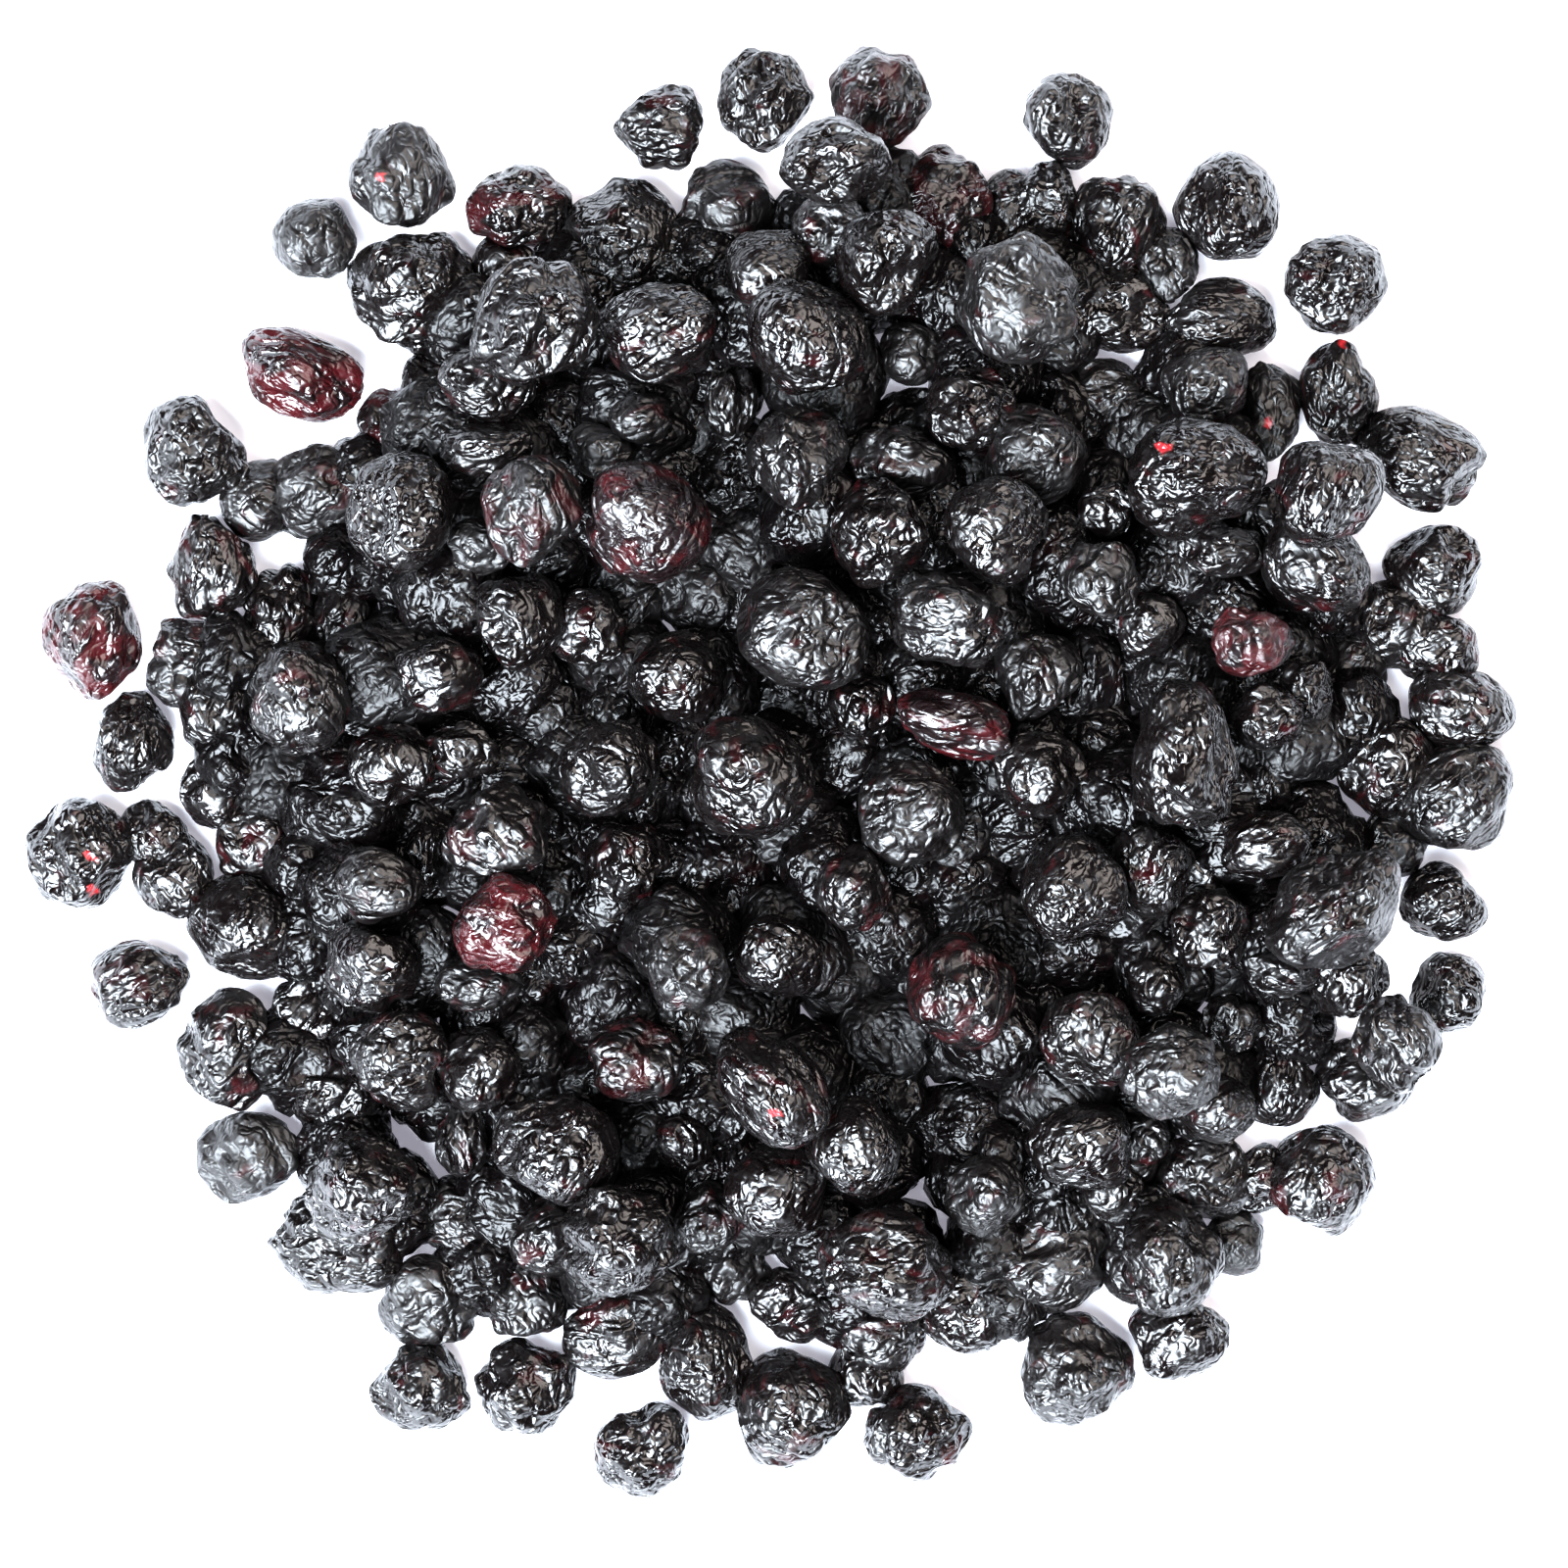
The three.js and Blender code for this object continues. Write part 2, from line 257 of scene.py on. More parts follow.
# The half covered berries: where, and how wide in millimetres.
HALF_COVERED_PX = {
    (1062, 205): 7.5, (1187, 266): 6.5, (1432, 636): 7.5, (1426, 858): 6.5, (1290, 1205): 6.0,
    (1160, 1290): 7.5, (262, 508): 7.0, (176, 690): 5.5, (150, 852): 6.0, (330, 1262): 7.5,
    (884, 1402): 6.5, (1108, 300): 7.5,
}
print(len(OPEN_PLACES_PX), "places stay open,", len(HALF_COVERED_PX), "berries are half covered")


# %% Lay the deep and the half covered berries
def off_middle(pixel):
    x = (pixel[0] - MIDDLE_PX[0]) * MM_PER_PIXEL
    y = (MIDDLE_PX[1] - pixel[1]) * MM_PER_PIXEL
    return np.array((x, y))


def closed_places():
    closed = [(*off_middle(pixel), OPEN_MARGIN) for pixel in OPEN_PLACES_PX]
    for row in edge_rows:
        keep = row["half"][:2].mean() * EDGE_OVERLAP
        closed.append((*(row["middle"][:2] - HEAP_SHIFT), keep))
    return closed


def has_room(berry, low, closed):
    def distance(x, y):
        return math.hypot(berry["x"] - x, berry["y"] - y)

    clear = [distance(other["x"], other["y"]) - DEEP_TOUCH * (berry["radius"] + other["radius"])
             for other in low]
    clear += [distance(x, y) - berry["radius"] - keep for x, y, keep in closed]
    return min(clear) > 0


def deep_berries():
    numbers = random.Random(DEEP_SEED)
    low = [berry for berry in pile if berry["z"] < LOW_LAYER]
    closed = closed_places()
    deep = []
    for _ in range(DEEP_TRIES):
        turn = numbers.uniform(0, 2 * math.pi)
        reach = DEEP_SPREAD * math.sqrt(numbers.random())
        width = numbers.uniform(DEEP_WIDTH_MIN, DEEP_WIDTH_MAX)
        berry = make_berry(reach * math.cos(turn), reach * math.sin(turn), width, width)
        if has_room(berry, low, closed):
            berry["hidden"] = True
            berry["z"] = floor_height(berry)
            low.append(berry)
            deep.append(berry)
    return deep


def half_covered_berry(pixel, width):
    berry = make_berry(*off_middle(pixel), width, width)
    berry["z"] = floor_height(berry)
    return berry


deep = deep_berries()
half_covered = [half_covered_berry(pixel, width) for pixel, width in HALF_COVERED_PX.items()]
pile += deep + half_covered
print(len(deep), "berries lie deep in the gaps")

# %% [markdown]
# ## One row for every berry
#
# The berries of the pile get the same kind of row as the others, so from here on every berry of
# the heap is treated alike. The pile was laid round its own middle, so the rows are shifted by
# as much as the model's source shifts the whole heap.

# %% Rows for all berries
ON_FLOOR_WITHIN = 0.01


def row_from_pile(number, berry):
    middle = np.array((berry["x"] + HEAP_SHIFT[0], berry["y"] + HEAP_SHIFT[1], berry["z"]))
    on_floor = berry["z"] < floor_height(berry) + ON_FLOOR_WITHIN
    return {
        "name": f"pile_berry_{number:03d}", "middle": middle, "half": np.array(berry["half"]),
        "on_floor": on_floor, "hidden": berry["hidden"],
    }


pile_rows = [row_from_pile(i, berry) for i, berry in enumerate(pile)]
all_rows = edge_rows + top_rows + pile_rows
print(len(all_rows), "berries, the highest reaches",
      round(max(row["middle"][2] + row["half"][2] for row in all_rows), 1), "mm")

# %% [markdown]
# ## Berries to copy from
#
# Each of these starts as a ball of small even triangles, which has no poles and bends the same
# way everywhere. Its large dents are pushed in as by hand, with proportional editing, so that the
# skin round a dent follows softly. The crown, the round scar where the flower was, is a ring
# that is lifted and a middle that is sunk. Displace modifiers then fold the skin: each reads a
# solid texture that is placed by an empty, so moving the empty gives another berry.
#
# Two kinds of noise do the folding. Noise whose place is itself bent by noise gives soft folds
# that wander and fork. Hard noise is turned over where it would go below its middle, which
# leaves narrow creases between round swellings. With a depth below zero the creases stand up as
# ridges, like the sharp wrinkles of dried skin. The sizes are shares of the berry's radius.

# %% Textures that fold the skin
def fold_texture(name, kind, **values):
    made = bpy.data.textures.new(name, kind)
    for key, value in values.items():
        setattr(made, key, value)
    return made


def bent_noise(name, size, bend):
    return fold_texture(
        name, "DISTORTED_NOISE", noise_basis="ORIGINAL_PERLIN",
        noise_distortion="ORIGINAL_PERLIN", distortion=bend, noise_scale=size,
    )


def hard_noise(name, size):
    return fold_texture(
        name, "CLOUDS", noise_basis="ORIGINAL_PERLIN", noise_type="HARD_NOISE",
        noise_scale=size, noise_depth=0,
    )


LUMPS = fold_texture("lumps", "CLOUDS", noise_scale=1.1, noise_depth=0)
FOLDS = bent_noise("folds", 0.70, 1.2)
CREASES = hard_noise("creases", 0.62)
RIDGES = hard_noise("ridges", 0.42)
WRINKLES = hard_noise("wrinkles", 0.22)
print(len(bpy.data.textures), "textures")


# %% Tools for shaping a ball
def apply_modifier(piece, kind, **values):
    modifier = piece.modifiers.new(kind.lower(), kind)
    for key, value in values.items():
        setattr(modifier, key, value)
    bpy.ops.object.modifier_apply(modifier=modifier.name)


def select_points(piece, chosen):
    bpy.ops.object.mode_set(mode="OBJECT")
    piece.data.polygons.foreach_set("select", np.zeros(len(piece.data.polygons), bool))
    piece.data.edges.foreach_set("select", np.zeros(len(piece.data.edges), bool))
    piece.data.vertices.foreach_set("select", chosen)
    bpy.ops.object.mode_set(mode="EDIT")


def points_of(piece):
    points = np.empty(len(piece.data.vertices) * 3, np.float32)
    piece.data.vertices.foreach_get("co", points)
    return points.reshape(-1, 3)


def random_way(numbers):
    way = Vector([numbers.gauss(0, 1) for _ in range(3)])
    return way.normalized()


def drag_points(piece, chosen, way, reach):
    select_points(piece, chosen)
    bpy.ops.transform.translate(
        value=way, use_proportional_edit=True, proportional_size=reach,
        proportional_edit_falloff="SMOOTH",
    )
    bpy.ops.object.mode_set(mode="OBJECT")


def push_dent(piece, way, depth, reach):
    points = points_of(piece)
    nearest = (points @ np.array(way)).argmax()
    drag_points(piece, np.arange(len(points)) == nearest, way * -depth, reach)


# %% [markdown]
# ## The crown
#
# A blueberry keeps a crown at the end that faced away from its twig: a ring of five short tips
# round a shallow pit. On a dried berry it is a low wavy ring, about a third as wide as the
# berry. The ring's points are picked by their angle from the top of the ball.

# %% Tool for the crown
CROWN_ANGLE = math.radians(19)
CROWN_BAND = math.radians(3.5)
CROWN_TIPS = 5
CROWN_WAVE = 0.13
CROWN_LIFT = 0.04
CROWN_LIFT_REACH = 0.07
PIT_DEPTH = 0.08
PIT_REACH = 0.06
PIT_BANDS_INSIDE = 1.6


def raise_crown(piece):
    points = points_of(piece)
    points /= np.linalg.norm(points, axis=1)[:, None]
    angle = np.arccos(np.clip(points[:, 2], -1, 1))
    turn = np.arctan2(points[:, 1], points[:, 0])
    ring = CROWN_ANGLE * (1 + CROWN_WAVE * np.cos(CROWN_TIPS * turn))
    drag_points(piece, np.abs(angle - ring) < CROWN_BAND, (0, 0, CROWN_LIFT), CROWN_LIFT_REACH)
    in_pit = angle < ring - CROWN_BAND * PIT_BANDS_INSIDE
    drag_points(piece, in_pit, (0, 0, -PIT_DEPTH), PIT_REACH)


print("A crown is", round(math.sin(CROWN_ANGLE), 2), "of its berry's width")

# %% [markdown]
# ## A whole berry
#
# The order matters: first the dents and lumps that give the berry its outline, then the crown,
# then the folds from wide to fine. After each fold the skin is smoothed a little, because a
# displaced mesh is jagged where the noise is steep, and real skin never is. At the end the mesh
# is thinned to what the heap can bear, which leaves most of its faces where the skin bends.

# %% Tool for a whole berry
SHAPE_SEED = 41
BALL_SUBDIVISIONS = 6
DENT_COUNT = 3
DENT_DEPTHS = (0.10, 0.28)
DENT_REACHES = (0.5, 0.8)
LUMP_DEPTH = 0.34
SMOOTH_SHARE = 0.5
SMOOTH_TIMES = 2
# How far from the middle of a texture a berry may be cut out of it, and how far turned.
TEXTURE_REACH = 9
TEXTURE_TURN = 6.28
shape_numbers = random.Random(SHAPE_SEED)
helper = bpy.data.objects.new("fold_place", None)
bpy.context.scene.collection.objects.link(helper)


def fold_skin(piece, skin_texture, depth, stretch=1.0):
    helper.location = [shape_numbers.uniform(-TEXTURE_REACH, TEXTURE_REACH) for _ in range(3)]
    helper.rotation_euler = [shape_numbers.uniform(0, TEXTURE_TURN) for _ in range(3)]
    helper.scale = (1, 1, stretch)
    bpy.context.view_layer.update()
    apply_modifier(
        piece, "DISPLACE", texture=skin_texture, strength=depth, mid_level=0.5,
        texture_coords="OBJECT", texture_coords_object=helper,
    )


def model_berry(name, folds, faces):
    bpy.ops.object.select_all(action="DESELECT")
    bpy.ops.mesh.primitive_ico_sphere_add(subdivisions=BALL_SUBDIVISIONS, radius=1)
    piece = bpy.context.object
    piece.name = name
    for _ in range(DENT_COUNT):
        depth = shape_numbers.uniform(*DENT_DEPTHS)
        way = random_way(shape_numbers)
        push_dent(piece, way, depth, shape_numbers.uniform(*DENT_REACHES))
    fold_skin(piece, LUMPS, LUMP_DEPTH)
    raise_crown(piece)
    for skin_texture, depth, stretch in folds:
        fold_skin(piece, skin_texture, depth, stretch)
        apply_modifier(piece, "SMOOTH", factor=SMOOTH_SHARE, iterations=SMOOTH_TIMES)
    apply_modifier(piece, "DECIMATE", ratio=faces / len(piece.data.polygons))
    bpy.ops.object.shade_smooth()
    return piece


# %% [markdown]
# ## Twelve kinds of folds
#
# Some berries dried round and only crinkled, others fell in and have deep folds. Each line
# below is one berry: the textures that fold it, from wide to fine, with how deep they go as a
# share of the berry's radius, and how far the folds are drawn out in one direction. One more
# berry with few faces serves for those that are hidden or lie deep in the gaps.

# %% Model the berries to copy from
BERRY_FACES = 4700
HIDDEN_FACES = 500
FOLD_KINDS = [
    [(FOLDS, 0.16, 1.0), (RIDGES, -0.08, 1.8), (WRINKLES, -0.025, 1.6)],
    [(CREASES, 0.08, 1.6), (RIDGES, -0.06, 1.4), (WRINKLES, -0.025, 1.6)],
    [(FOLDS, 0.20, 1.5), (RIDGES, 0.05, 1.5), (WRINKLES, -0.025, 2.0)],
    [(CREASES, -0.10, 1.6), (RIDGES, -0.05, 2.0), (WRINKLES, 0.025, 1.6)],
    [(FOLDS, 0.12, 1.0), (RIDGES, -0.09, 1.4), (WRINKLES, -0.025, 1.6)],
    [(FOLDS, 0.10, 2.0), (RIDGES, -0.08, 2.4), (WRINKLES, -0.030, 2.0)],
    [(CREASES, 0.09, 1.3), (RIDGES, -0.05, 1.5), (WRINKLES, -0.025, 1.6)],
    [(FOLDS, 0.18, 1.4), (CREASES, -0.07, 1.8), (WRINKLES, -0.030, 1.6)],
    [(FOLDS, 0.08, 1.0), (RIDGES, -0.04, 1.2), (WRINKLES, -0.025, 1.6)],
    [(CREASES, -0.11, 1.5), (FOLDS, 0.12, 1.5), (WRINKLES, -0.030, 1.5)],
    [(FOLDS, 0.15, 2.2), (RIDGES, -0.07, 1.6), (WRINKLES, 0.025, 1.6)],
    [(CREASES, 0.07, 2.0), (FOLDS, 0.14, 1.0), (RIDGES, -0.05, 2.0)],
]
shapes = []
for kind_number, kind in enumerate(FOLD_KINDS):
    shapes.append(model_berry(f"shape_{kind_number + 1:02d}", kind, BERRY_FACES))
hidden_shape = model_berry("shape_hidden", FOLD_KINDS[0][:2], HIDDEN_FACES)
print(len(shapes), "berries to copy from, with", [len(s.data.polygons) for s in shapes], "faces")
print("A hidden berry has", len(hidden_shape.data.polygons), "faces")

# %% [markdown]
# ## A map of the skin
#
# Each berry needs a flat map of its skin, so that its colours can be painted on an image.
# The ball is seen as a cube: every triangle goes to the side that it faces, and the six sides
# lie in two rows of three. Each copy later gets a square of its own on its piece's map.

# %% Tool for the map
SIDE_AXES = [(0, 1, 2), (1, 2, 0), (2, 0, 1)]
SIDE_MARGIN = 1.14
MAP_NAME = "OFBake"


def map_skin(piece):
    mesh = piece.data
    corners = np.empty(len(mesh.loops), np.int32)
    mesh.loops.foreach_get("vertex_index", corners)
    points = points_of(piece)[corners].reshape(-1, 3, 3)
    middles = points.mean(axis=1)
    main = np.abs(middles).argmax(axis=1)
    behind = middles[np.arange(len(main)), main] < 0
    places = np.empty((len(main), 3, 2), np.float32)
    for axis, across, up in SIDE_AXES:
        on_side = main == axis
        depth = np.abs(points[on_side][:, :, axis])
        places[on_side, :, 0] = points[on_side][:, :, across] / depth
        places[on_side, :, 1] = points[on_side][:, :, up] / depth
    places = (np.clip(places / SIDE_MARGIN, -1, 1) + 1) / 2
    places[:, :, 0] = (places[:, :, 0] + main[:, None]) / 3
    places[:, :, 1] = (places[:, :, 1] + behind[:, None]) / 2
    skin_map = mesh.uv_layers.new(name=MAP_NAME)
    skin_map.data.foreach_set("uv", places.ravel())


for shape in shapes + [hidden_shape]:
    map_skin(shape)
print(len(shapes) + 1, "skins are mapped")

# %% [markdown]
# ## Which way each berry lies, and how red it is
#
# Most berries are blue-black. Where the skin is thin or was less ripe, it is dark wine red. The
# crowns that show are turned towards the places where they are seen, and every other berry is
# turned at random with its crown down or to the side. A few berries stand out in other ways, so
# they too are named by their place in the picture: round tight ones, long ones that lie aslant,
# and torn ones with a bright red fleck.

# %% What stands out on single berries
CROWNS_PX = [
    (1360, 290), (1137, 305), (575, 325), (855, 620), (1255, 250), (1210, 1298), (1372, 930),
    (620, 1230), (845, 1300), (700, 985), (762, 91), (908, 262), (852, 139),
]
RED_BERRIES_PX = {
    (96, 653): 0.75, (308, 380): 0.85, (1279, 656): 0.8, (515, 940): 0.8, (975, 740): 0.5,
    (663, 534): 0.45, (398, 441): 0.8, (528, 206): 0.5, (963, 199): 0.6, (980, 1010): 0.7,
    (650, 1080): 0.6, (259, 858): 0.5, (899, 100): 0.6, (548, 524): 0.5, (140, 1006): 0.4,
}
# Large round berries that dried tight, with only fine wrinkles.
TIGHT_KIND = 8
TIGHT_BERRIES_PX = [(1215, 490), (662, 534), (1340, 1195), (818, 1450), (908, 262)]
# Long berries that lie aslant: the way they point in degrees, and how much longer than wide.
ASLANT_BERRIES_PX = {
    (308, 385): (-30, 1.40), (975, 740): (-35, 1.50), (1456, 468): (-20, 1.25),
    (1368, 930): (35, 1.35), (800, 1110): (-50, 1.30), (1335, 560): (-55, 1.25),
}
# Bright red flecks where the skin tore, and how wide they are in millimetres.
FLECKS_PX = {
    (1182, 460): 1.0, (386, 180): 0.7, (92, 909): 0.8, (1372, 348): 0.7, (1295, 430): 0.7,
    (790, 1130): 0.7, (88, 872): 0.7,
}
print(len(CROWNS_PX), "crowns show, and", len(RED_BERRIES_PX), "berries are red")


# %% Tools that find the berry at a place
# Of two berries at a place, the higher one is meant: a millimetre of height counts this much.
HEIGHT_COUNTS = 0.02
CROWN_FARTHEST_OFF = 0.75
SMALLEST_OFF = 0.01


def place_from_pixel(pixel):
    return off_middle(pixel) + np.array(HEAP_SHIFT)


def berry_under(pixel):
    place = place_from_pixel(pixel)
    seen = [row for row in all_rows if not row["hidden"]]

    def misses(row):
        off = np.linalg.norm((row["middle"][:2] - place) / row["half"][:2])
        return off - row["middle"][2] * HEIGHT_COUNTS

    return min(seen, key=misses)


def crown_way(row, pixel):
    off = (place_from_pixel(pixel) - row["middle"][:2]) / row["half"][:2]
    off *= min(1, CROWN_FARTHEST_OFF / max(np.linalg.norm(off), SMALLEST_OFF))
    return Vector((off[0], off[1], math.sqrt(1 - off @ off)))


print("The middle of the picture lies on", berry_under((800, 800))["name"])


# %% Give each berry its own ways
LAY_SEED = 11
EASY_REDNESS = 0.30
CROWN_UPWARDS = 0.1
lay_numbers = random.Random(LAY_SEED)
for row in all_rows:
    row["redness"] = lay_numbers.random() ** 2 * EASY_REDNESS
    row["dullness"] = lay_numbers.random() ** 3
    row["kind"] = lay_numbers.randrange(len(FOLD_KINDS))
    row["slant"] = (0, 1)
    row["flecks"] = []
    row["crown"] = random_way(lay_numbers)
    if row["crown"].z > CROWN_UPWARDS:
        row["crown"].z *= -1
for pixel in CROWNS_PX:
    row = berry_under(pixel)
    row["crown"] = crown_way(row, pixel)
for pixel, redness in RED_BERRIES_PX.items():
    berry_under(pixel)["redness"] = redness
for pixel in TIGHT_BERRIES_PX:
    berry_under(pixel)["kind"] = TIGHT_KIND
for pixel, slant in ASLANT_BERRIES_PX.items():
    berry_under(pixel)["slant"] = slant
for pixel, width in FLECKS_PX.items():
    berry_under(pixel)["flecks"].append((place_from_pixel(pixel), width))
print(sum(len(row["flecks"]) for row in all_rows), "flecks are laid on berries")

# %% [markdown]
# ## Copy the berries to their places
#
# A copy is turned, stretched until its box is the berry's own box, and moved to its middle. All
# this is done to the mesh, so the object itself stays at the origin. A berry on the floor is
# pressed flat there: what would reach below the floor ends on it. Two things are written on the
# copy's points for its finish: how red, dull and torn the skin is there, and where the point was
# on the unturned berry. The patterns on the skin follow that place, and so no two are alike.

# %% Tool that lays a berry down
SKIN_ATTRIBUTE = "berry_skin"
PLACE_ATTRIBUTE = "place_on_skin"


def slant_points(points, degrees, stretch):
    way = np.array((math.cos(math.radians(degrees)), math.sin(math.radians(degrees)), 0))
    return points + np.outer(points @ way, way) * (stretch - 1)


def skin_values(row, points):
    fleck = np.zeros(len(points))
    for place, width in row["flecks"]:
        off = np.linalg.norm(points[:, :2] - place, axis=1) / (width / 2)
        fleck = np.maximum(fleck, (off < 1) * (points[:, 2] > row["middle"][2]))
    values = np.ones((len(points), 4), np.float32)
    values[:, 0] = row["redness"]
    values[:, 1] = row["dullness"]
    values[:, 2] = fleck
    return values


def lay_berry(row, shape):
    spin = Matrix.Rotation(lay_numbers.uniform(0, 2 * math.pi), 3, "Z")
    turn = row["crown"].to_track_quat("Z", "Y").to_matrix() @ spin
    berry = bpy.data.objects.new(row["name"] + "_skin", shape.data.copy())
    bpy.context.scene.collection.objects.link(berry)
    points = slant_points(points_of(shape) @ np.array(turn).T, *row["slant"])
    low, high = points.min(axis=0), points.max(axis=0)
    points = (points - (low + high) / 2) / ((high - low) / 2)
    points = points * row["half"] + row["middle"]
    if row["on_floor"]:
        points[:, 2] = np.maximum(points[:, 2], 0)
    berry.data.vertices.foreach_set("co", (points * MM).astype(np.float32).ravel())
    own_place = points_of(shape) * row["half"].mean() * MM + lay_numbers.random()
    skin_place = berry.data.attributes.new(PLACE_ATTRIBUTE, "FLOAT_VECTOR", "POINT")
    skin_place.data.foreach_set("vector", own_place.astype(np.float32).ravel())
    skin = berry.data.attributes.new(SKIN_ATTRIBUTE, "FLOAT_COLOR", "POINT")
    skin.data.foreach_set("color", skin_values(row, points).ravel())
    return berry


# %% [markdown]
# ## Lay the heap
#
# The edge and top berries stay pieces of their own, as their solids are. Those of the pile are
# joined into a few pieces, each below the number of faces that one piece may have. Before they
# are joined, every berry's map shrinks into its own square.

# %% Tool that joins berries
def join_berries(name, berries):
    columns = math.ceil(math.sqrt(len(berries)))
    for number, berry in enumerate(berries):
        skin_map = berry.data.uv_layers[MAP_NAME]
        places = np.empty(len(skin_map.data) * 2, np.float32)
        skin_map.data.foreach_get("uv", places)
        places = (places.reshape(-1, 2) + (number % columns, number // columns)) / columns
        skin_map.data.foreach_set("uv", places.ravel())
    bpy.ops.object.select_all(action="DESELECT")
    for berry in berries:
        berry.select_set(True)
    bpy.context.view_layer.objects.active = berries[0]
    bpy.ops.object.join()
    piece = bpy.context.object
    piece.name = name
    return piece


# %% Lay all berries
PILE_PIECES = 6
single_pieces = {}
for row in edge_rows + top_rows:
    single_pieces[row["name"]] = lay_berry(row, shapes[row["kind"]])
seen_pile = [lay_berry(row, shapes[row["kind"]]) for row in pile_rows if not row["hidden"]]
hidden_pile = [lay_berry(row, hidden_shape) for row in pile_rows if row["hidden"]]
pile_pieces = [
    join_berries(f"pile_berries_{i + 1}", seen_pile[i::PILE_PIECES]) for i in range(PILE_PIECES)
]
pile_pieces.append(join_berries("hidden_berries", hidden_pile))
for shape in shapes + [hidden_shape, helper]:
    bpy.data.objects.remove(shape)
faces = sum(len(p.data.polygons) for p in list(single_pieces.values()) + pile_pieces)
print(len(single_pieces), "single berries and", len(pile_pieces), "joined pieces,", faces, "faces")
print("The largest piece has", max(len(p.data.polygons) for p in pile_pieces), "faces")

# %% [markdown]
# ## The skin
#
# Dried skin is almost black, very smooth and a little sticky, so it shines like lacquer. What
# makes it look real is where the shine breaks: crinkles too fine for the mesh are a bump, made
# of noise that is folded over at its middle, which gives sharp creases between round swellings.
# Wine-red patches show through where the skin is thin, and the shine itself changes from patch
# to patch. All of this is one node group with a few named inputs, so all skins share it. Noise
# scales are per metre: at 640, a swelling is about a millimetre wide.

# %% Tools for nodes
def new_group(name, inputs, outputs):
    group = bpy.data.node_groups.new(name, "ShaderNodeTree")
    for socket, kind in inputs:
        group.interface.new_socket(socket, in_out="INPUT", socket_type=kind)
    for socket, kind in outputs:
        group.interface.new_socket(socket, in_out="OUTPUT", socket_type=kind)
    return group


def add_node(tree, kind, values=None, **settings):
    node = tree.nodes.new(kind)
    for key, value in settings.items():
        setattr(node, key, value)
    for socket, value in (values or {}).items():
        node.inputs[socket].default_value = value
    return node


def math_node(tree, operation, *given):
    node = add_node(tree, "ShaderNodeMath", operation=operation)
    for number, value in enumerate(given):
        if isinstance(value, (int, float)):
            node.inputs[number].default_value = value
        else:
            tree.links.new(value, node.inputs[number])
    return node.outputs[0]


def noise_node(tree, place, scale, detail=1.0, bend=0.0):
    node = add_node(
        tree, "ShaderNodeTexNoise", {"Scale": scale, "Detail": detail, "Distortion": bend},
    )
    tree.links.new(place, node.inputs["Vector"])
    return node.outputs["Fac"]


def map_node(tree, value, given, wanted):
    node = add_node(tree, "ShaderNodeMapRange", {
        "From Min": given[0], "From Max": given[1], "To Min": wanted[0], "To Max": wanted[1]})
    tree.links.new(value, node.inputs["Value"])
    return node.outputs["Result"]


def mix_node(tree, share, first, second):
    node = add_node(tree, "ShaderNodeMix", data_type="RGBA")
    tree.links.new(share, node.inputs["Factor"])
    tree.links.new(first, node.inputs[6])
    if isinstance(second, tuple):
        node.inputs[7].default_value = second
    else:
        tree.links.new(second, node.inputs[7])
    return node.outputs[2]


# %% Colour, shine and crinkles of the skin
# Red patches are two millimetres and more across: where the noise passes from the first to the
# second of these values, the skin turns from dark to red. Redness adds its share to the noise.
PATCH_SCALE = 420
PATCH_EDGE = (0.64, 0.80)
REDNESS_SHARE = 0.27
FLECK_COLOUR = (0.30, 0.014, 0.018, 1)
# The shine changes from patch to patch and from berry to berry.
SHINE_SCALE = 700
SHINE_EDGE = (0.35, 0.65)
ROUGHNESS = (0.17, 0.36)
DULLNESS_SHARE = 0.22
# Long crinkles, shorter and lower ones across them, and patches that dried tight and stay
# almost smooth.
LONG_SCALE = 640
DRAWN_OUT = (1, 1, 0.4)
SHORT_SCALE = 1250
SHORT_SHARE = 0.4
TIGHT_SCALE = 330
TIGHT_EDGE = (0.38, 0.55)
TIGHT_SHARES = (0.5, 1.0)


def skin_colour(tree, given, place):
    patches = noise_node(tree, place, PATCH_SCALE, 2.0, 0.6)
    own_red = math_node(tree, "MULTIPLY", given.outputs["Redness"], REDNESS_SHARE)
    amount = math_node(tree, "ADD", patches, own_red)
    red = map_node(tree, amount, PATCH_EDGE, (0.0, 1.0))
    colour = mix_node(tree, red, given.outputs["Dark"], given.outputs["Red"])
    return mix_node(tree, given.outputs["Fleck"], colour, FLECK_COLOUR)


def skin_roughness(tree, given, place):
    dull = map_node(tree, noise_node(tree, place, SHINE_SCALE, 2.0), SHINE_EDGE, ROUGHNESS)
    own_shine = math_node(tree, "MULTIPLY", given.outputs["Dullness"], DULLNESS_SHARE)
    return math_node(tree, "ADD", dull, own_shine)


def folded_over(tree, noise):
    return math_node(tree, "ABSOLUTE", math_node(tree, "SUBTRACT", noise, 0.5))


def skin_crinkles(tree, place):
    drawn_out = add_node(tree, "ShaderNodeVectorMath", operation="MULTIPLY")
    drawn_out.inputs[1].default_value = DRAWN_OUT
    tree.links.new(place, drawn_out.inputs[0])
    long = folded_over(tree, noise_node(tree, drawn_out.outputs["Vector"], LONG_SCALE, 0.8, 0.5))
    short = folded_over(tree, noise_node(tree, place, SHORT_SCALE, 0.6, 0.4))
    crinkles = math_node(tree, "ADD", long, math_node(tree, "MULTIPLY", short, SHORT_SHARE))
    tight = map_node(tree, noise_node(tree, place, TIGHT_SCALE), TIGHT_EDGE, TIGHT_SHARES)
    return math_node(tree, "MULTIPLY", crinkles, tight)


print("The skin's roughness runs from", ROUGHNESS[0], "to", ROUGHNESS[1] + DULLNESS_SHARE)


